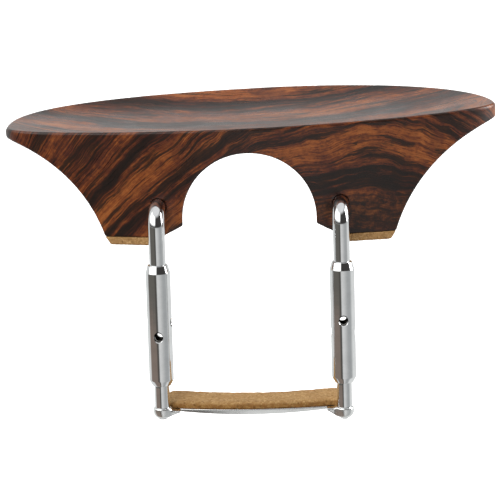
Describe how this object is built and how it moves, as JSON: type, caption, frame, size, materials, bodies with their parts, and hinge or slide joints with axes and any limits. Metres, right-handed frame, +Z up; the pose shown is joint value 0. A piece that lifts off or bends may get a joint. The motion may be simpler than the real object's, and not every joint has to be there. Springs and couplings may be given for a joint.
{
  "type": "violin chin rest",
  "caption": "Carved wooden chin rest with a shallow tilted dish and legs that arch over the tailpiece, held to the instrument's edge by a turnbuckle clamp.",
  "frame": {"origin": "midway between the two foot pads, on the plane of their soles, where the instrument's top meets them", "axes": "+X across the instrument towards the dish's higher end, +Y along the instrument towards its scroll, +Z up, away from its top"},
  "size_m": [0.1218, 0.0719, 0.0738],
  "materials": {
    "rosewood": "polished dark brown and orange rosewood with near-black streaks",
    "foot_cork": "cut cork sheet, darkened at its edge",
    "bracket_cork": "cork sheet with a softened edge",
    "chrome_rod": "bright polished plate",
    "chrome_barrel": "bright polished plate",
    "chrome_leaf": "bright polished plate"
  },
  "bodies": {
    "rest": {"rest_body": "rosewood", "left_foot_cork": "foot_cork", "right_foot_cork": "foot_cork", "left_upper_rod": "chrome_rod", "right_upper_rod": "chrome_rod"},
    "left_turnbuckle": {"left_barrel": "chrome_barrel"},
    "right_turnbuckle": {"right_barrel": "chrome_barrel"},
    "bracket": {"bracket_leaf": "chrome_leaf", "left_post": "chrome_rod", "right_post": "chrome_rod", "bracket_cork": "bracket_cork"}
  },
  "joints": [
    {"name": "left_barrel_turn", "type": "hinge", "parent": "rest", "child": "left_turnbuckle", "pos_m": [-0.02225, -0.0149, -0.0182], "axis": [0, 0, 1], "range_deg": [-1725, 1210]},
    {"name": "right_barrel_turn", "type": "hinge", "parent": "rest", "child": "right_turnbuckle", "pos_m": [0.02225, -0.0149, -0.0182], "axis": [0, 0, 1], "range_deg": [-1725, 1210]},
    {"name": "bracket_travel", "type": "slide", "parent": "rest", "child": "bracket", "axis": [0, 0, 1], "range_m": [-0.0067, 0.0047]}
  ],
  "couplings": [
    {"joint": "left_barrel_turn", "follows": "bracket_travel", "rad_per_m": 4488},
    {"joint": "right_barrel_turn", "follows": "bracket_travel", "rad_per_m": 4488}
  ]
}
